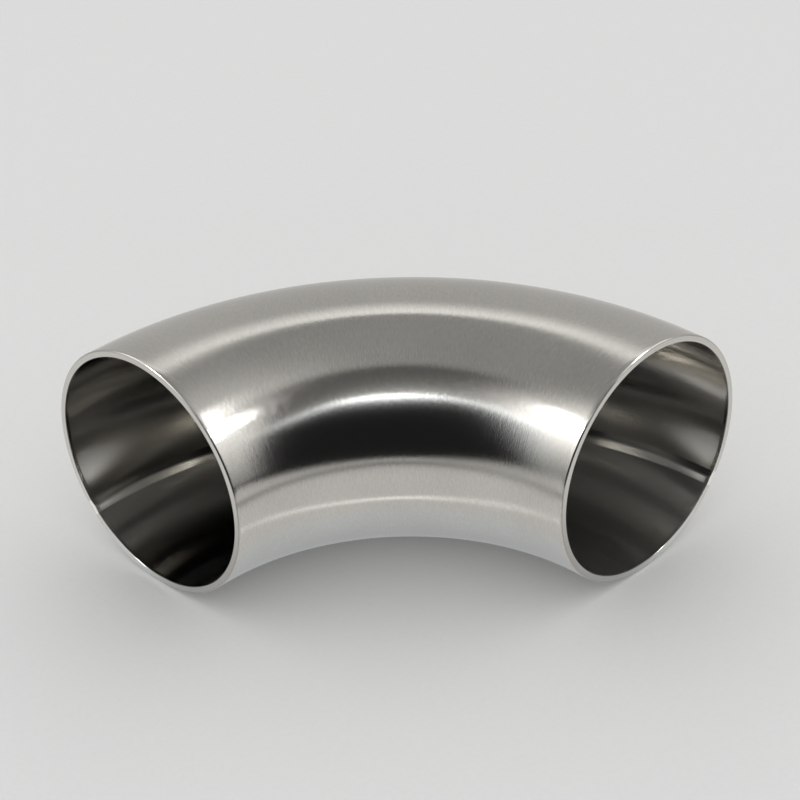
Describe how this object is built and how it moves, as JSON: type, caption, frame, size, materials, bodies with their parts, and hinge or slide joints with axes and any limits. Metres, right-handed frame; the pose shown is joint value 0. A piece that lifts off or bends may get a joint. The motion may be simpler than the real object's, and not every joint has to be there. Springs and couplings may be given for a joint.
{
  "type": "butt-weld pipe elbow",
  "caption": "Right-angle butt-weld pipe elbow of thin polished stainless tube, with square-cut open ends and a lengthwise seam weld.",
  "frame": {"origin": "centre of weld end A's face, on the tube's centre line", "axes": "-X out of weld end A, -Y out of weld end B, +Z along the bend's axis, up when the elbow lies flat"},
  "size_m": [0.0965, 0.0965, 0.053],
  "materials": {
    "polished_tube": "bright polished stainless steel with fine brushing round the tube",
    "weld_metal": "smooth planished weld bead, ground flush and polished on the outside"
  },
  "bodies": {
    "root": {"tube_wall": "polished_tube", "seam_weld": "weld_metal"}
  },
  "joints": []
}
